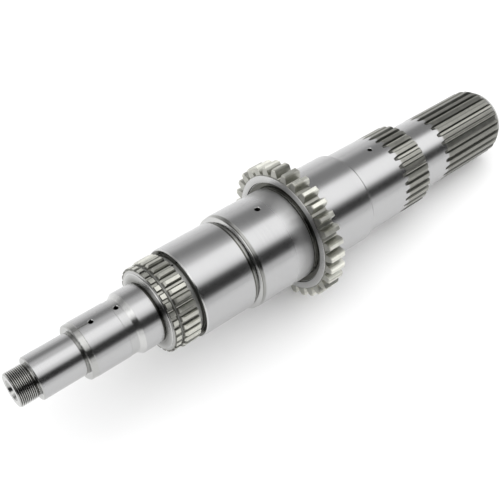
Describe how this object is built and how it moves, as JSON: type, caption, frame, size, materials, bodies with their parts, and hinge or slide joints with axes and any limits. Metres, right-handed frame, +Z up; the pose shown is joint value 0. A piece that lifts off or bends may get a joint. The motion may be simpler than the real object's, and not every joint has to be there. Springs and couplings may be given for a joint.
{
  "type": "drive shaft",
  "caption": "Stepped gearbox shaft in one piece, with ground journals, a toothed flange, two splined rings, two long splines, radial oil holes and a threaded front end.",
  "frame": {"origin": "middle of the footprint of the resting shaft, on the surface it lies on", "axes": "+X along the length, towards the splined rear end, +Z up; the shaft's own axis slopes down towards +X by about 7 degrees, as it rests on two flange teeth and the rear spline"},
  "size_m": [0.5588, 0.132, 0.1326],
  "materials": {
    "steel": "ground bright on the journals, satin on the splines, grooves and teeth"
  },
  "bodies": {
    "root": {"shaft": "steel"}
  },
  "joints": []
}
